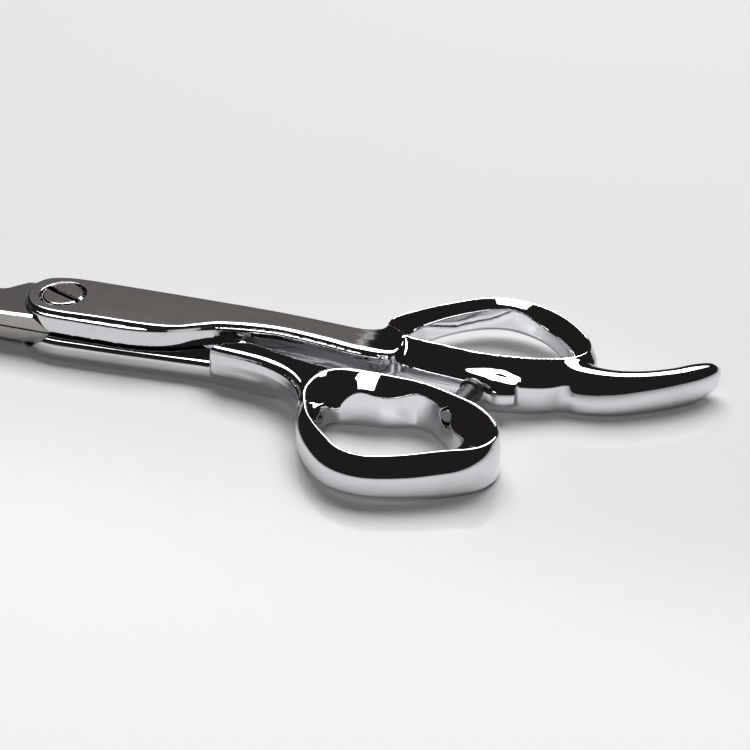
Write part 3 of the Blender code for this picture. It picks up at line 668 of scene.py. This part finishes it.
def place(tree):
    """Object coordinates in millimetres, whole and split."""
    source = tree.nodes.new("ShaderNodeTexCoord")
    scaled = tree.nodes.new("ShaderNodeVectorMath")
    scaled.operation = "SCALE"
    scaled.inputs["Scale"].default_value = 1 / MM
    tree.links.new(source.outputs["Object"], scaled.inputs[0])
    split = tree.nodes.new("ShaderNodeSeparateXYZ")
    tree.links.new(scaled.outputs[0], split.inputs[0])
    return scaled.outputs[0], split.outputs


def facing_up(tree, kind="Normal"):
    """The z part of the surface's normal."""
    source = tree.nodes.new("ShaderNodeNewGeometry")
    split = tree.nodes.new("ShaderNodeSeparateXYZ")
    tree.links.new(source.outputs[kind], split.inputs[0])
    return split.outputs[2]


def noise(tree, where, stretch, detail=3.0, roughness=0.6, turn=0.0):
    """Noise whose waves per mm along x, y and z are given by stretch."""
    mapping = tree.nodes.new("ShaderNodeMapping")
    mapping.vector_type = "POINT"
    mapping.inputs["Rotation"].default_value = (0, 0, turn)
    mapping.inputs["Scale"].default_value = stretch
    tree.links.new(where, mapping.inputs["Vector"])
    node = tree.nodes.new("ShaderNodeTexNoise")
    node.inputs["Scale"].default_value = 1.0
    node.inputs["Detail"].default_value = detail
    node.inputs["Roughness"].default_value = roughness
    tree.links.new(mapping.outputs[0], node.inputs["Vector"])
    return node.outputs["Fac"]


def bump(tree, shader, height, strength=1.0):
    """Relief whose height is in millimetres."""
    node = tree.nodes.new("ShaderNodeBump")
    node.inputs["Distance"].default_value = MM
    wire(tree, strength, node.inputs["Strength"])
    tree.links.new(height, node.inputs["Height"])
    tree.links.new(node.outputs["Normal"], shader.inputs["Normal"])


# ---------------------------------------------------------------- materials
# The flat face with real brush lines and painted shade lies within these bounds.
BRUSHED_UNTIL = 52.0       # x where the brushed face starts to turn into polish
POLISHED_FROM = 56.0
BORDER_WANDER = 5.0        # how far that border wanders along x
BRUSHED_LOW = 7.40         # heights between which the brushed look sets in
BRUSHED_HIGH = 7.52


def handle_chrome():
    """Mirror chrome with faint orange peel and smudges, and a flat face with lengthwise brush lines whose
    colour is darkened as painted shade.
    """
    made, tree, shader = new_material("handle_chrome")
    where, (x, _, z) = place(tree)
    level = ramp_between(tree, facing_up(tree), 0.986, 0.998)
    flat = times(tree, level, ramp_between(tree, z, BRUSHED_LOW, BRUSHED_HIGH))
    fade = calculate(tree, "ADD", x, times(tree, noise(tree, where, (0.3, 0.9, 0.3)), BORDER_WANDER))
    flat = times(tree, flat, ramp_between(tree, fade, POLISHED_FROM, BRUSHED_UNTIL))
    lines = noise(tree, where, (0.10, 14.0, 1.0), detail=5.0, roughness=0.7, turn=0.02)
    fine = noise(tree, where, (0.35, 42.0, 1.0), detail=2.0, roughness=0.5, turn=-0.03)
    grain = mix_values(tree, 0.4, lines, fine)
    haze = noise(tree, where, (0.22, 0.22, 0.22), detail=3.0, roughness=0.55)
    smudge = ramp_between(tree, haze, 0.52, 0.70)
    # Painted shade: the flat top face gets a colour far darker than the polish; its brush lines are real.
    brushed_and_painted_shade = mix_colors(tree, ramp_between(tree, grain, 0.36, 0.64),
                         (0.044, 0.041, 0.039, 1), (0.070, 0.065, 0.062, 1))
    polished = mix_colors(tree, smudge, (0.80, 0.805, 0.82, 1), (0.75, 0.755, 0.77, 1))
    tree.links.new(mix_colors(tree, flat, polished, brushed_and_painted_shade), shader.inputs["Base Color"])
    gloss = mix_values(tree, smudge, 0.02, 0.05)
    dull = mix_values(tree, grain, 0.22, 0.40)
    tree.links.new(mix_values(tree, flat, gloss, dull), shader.inputs["Roughness"])
    shader.inputs["Metallic"].default_value = 1.0
    peel = noise(tree, where, (0.9, 0.9, 0.9), detail=2.0, roughness=0.5)
    bump(tree, shader, mix_values(tree, flat, times(tree, peel, 0.0035), times(tree, grain, 0.006)))
    return made


def blade_steel():
    """Satin ground steel: painted shade makes the broad faces dark, the sides keep the steel's lighter
    tone, and narrow chamfers are polished.
    """
    made, tree, shader = new_material("blade_steel")
    where, _ = place(tree)
    up = calculate(tree, "ABSOLUTE", facing_up(tree, "True Normal"))
    broad = ramp_between(tree, up, 0.965, 0.985)
    narrow = times(tree, ramp_between(tree, up, 0.25, 0.35), calculate(tree, "SUBTRACT", 1.0, broad))
    along = noise(tree, where, (0.12, 13.0, 13.0), detail=4.0, roughness=0.7)
    cross = noise(tree, where, (9.0, 0.25, 2.0), detail=4.0, roughness=0.7, turn=0.25)
    grain = mix_values(tree, 0.35, along, cross)
    tone = ramp_between(tree, grain, 0.36, 0.64)
    side = mix_colors(tree, tone, (0.44, 0.42, 0.395, 1), (0.62, 0.60, 0.57, 1))
    # Painted shade: the broad faces get a colour far darker than the sides' steel.
    face = mix_colors(tree, tone, (0.040, 0.037, 0.035, 1), (0.062, 0.058, 0.055, 1))
    color = mix_colors(tree, broad, side, face)
    tree.links.new(mix_colors(tree, narrow, color, (0.78, 0.78, 0.78, 1)), shader.inputs["Base Color"])
    rough = mix_values(tree, grain, 0.28, 0.48)
    tree.links.new(mix_values(tree, narrow, rough, 0.10), shader.inputs["Roughness"])
    shader.inputs["Metallic"].default_value = 1.0
    bump(tree, shader, times(tree, grain, 0.008))
    return made


def screw_steel():
    """A head with brush lines and painted shade on its flat top, a bright polished rim, and a slot
    darkened by painted shade.
    """
    made, tree, shader = new_material("screw_steel")
    where, (_, _, z) = place(tree)
    level = ramp_between(tree, facing_up(tree), 0.97, 0.995)
    flat = times(tree, level, ramp_between(tree, z, 7.3, 7.5))
    # Painted shade between heights 6.7 and 7.2: the slot's walls and floor and the head's side.
    deep_painted_shade = times(tree, ramp_between(tree, z, 7.35, 7.2), ramp_between(tree, z, 6.5, 6.7))
    lines = noise(tree, where, (0.3, 12.0, 1.0), detail=4.0, roughness=0.7, turn=-0.32)
    # The flat top's colour is darkened as painted shade; the brush lines are real.
    brushed_and_painted_shade = mix_colors(tree, ramp_between(tree, lines, 0.36, 0.64),
                         (0.046, 0.040, 0.038, 1), (0.072, 0.062, 0.059, 1))
    color = mix_colors(tree, flat, (0.80, 0.80, 0.81, 1), brushed_and_painted_shade)
    tree.links.new(mix_colors(tree, deep_painted_shade, color, (0.10, 0.095, 0.09, 1)), shader.inputs["Base Color"])
    tree.links.new(mix_values(tree, flat, 0.06, 0.34), shader.inputs["Roughness"])
    shader.inputs["Metallic"].default_value = 1.0
    bump(tree, shader, times(tree, lines, 0.006), strength=flat)
    return made


def plain_metal(name, color, roughness, stretch):
    """Metal with a slight grain, which has stretch waves per mm along x, y and z."""
    made, tree, shader = new_material(name)
    where, _ = place(tree)
    grain = noise(tree, where, stretch, detail=4.0, roughness=0.65)
    dark = tuple(0.72 * c for c in color) + (1,)
    tone = ramp_between(tree, grain, 0.35, 0.65)
    tree.links.new(mix_colors(tree, tone, dark, color + (1,)), shader.inputs["Base Color"])
    tree.links.new(mix_values(tree, grain, roughness * 0.75, roughness * 1.3), shader.inputs["Roughness"])
    shader.inputs["Metallic"].default_value = 1.0
    bump(tree, shader, times(tree, grain, 0.006))
    return made


def soft_plastic(name, color, roughness, pits):
    """Rubber or plastic with fine pits, given per mm, and patches that are lighter and duller."""
    made, tree, shader = new_material(name)
    where, _ = place(tree)
    fine = noise(tree, where, (pits, pits, pits), detail=3.0, roughness=0.6)
    wide = noise(tree, where, (0.6, 0.6, 0.6), detail=2.0, roughness=0.5)
    dusty = tuple(min(1.0, c * 1.5 + 0.012) for c in color) + (1,)
    dust = ramp_between(tree, wide, 0.45, 0.75)
    tree.links.new(mix_colors(tree, dust, color + (1,), dusty), shader.inputs["Base Color"])
    tree.links.new(mix_values(tree, wide, roughness * 0.8, roughness * 1.25), shader.inputs["Roughness"])
    bump(tree, shader, times(tree, fine, 0.02))
    return made


def paint(item, look):
    item.data.materials.clear()
    item.data.materials.append(look)


def add_piece(item, body, node, look):
    paint(item, look)
    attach(item, body)
    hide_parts(node)


# ---------------------------------------------------------------- the scene
add_camera()
add_floor()
add_lights()
chrome = handle_chrome()
add_piece(finger_handle(), "finger_half", "finger_handle", chrome)
add_piece(thumb_handle(), "thumb_half", "thumb_handle", chrome)
add_piece(pivot_screw(), "tension_screw", "pivot_screw", screw_steel())
blade = blade_steel()
looks = {
    "finger_blade": blade,
    "thumb_blade": blade,
    "bumper_cap": soft_plastic("rubber", (0.022, 0.020, 0.019), roughness=0.32, pits=6.0),
    # The stud's colour is darkened: painted shade for the hole it sits in.
    "bumper_stud": plain_metal("stud_steel_painted_shade", (0.20, 0.195, 0.19), roughness=0.22,
                               stretch=(3.0, 0.5, 3.0)),
    "spring_washer": plain_metal("spring_steel", (0.52, 0.52, 0.54), roughness=0.25,
                                 stretch=(2.0, 2.0, 2.0)),
    "pivot_washer": soft_plastic("nylon", (0.80, 0.79, 0.74), roughness=0.45, pits=5.0),
    "threaded_insert": plain_metal("insert_brass", (0.80, 0.62, 0.32), roughness=0.28,
                                   stretch=(1.5, 1.5, 4.0)),
}
for node, look in looks.items():
    paint(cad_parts[node], look)

view = bpy.context.scene.view_settings
view.view_transform = "Standard"
view.look = "None"
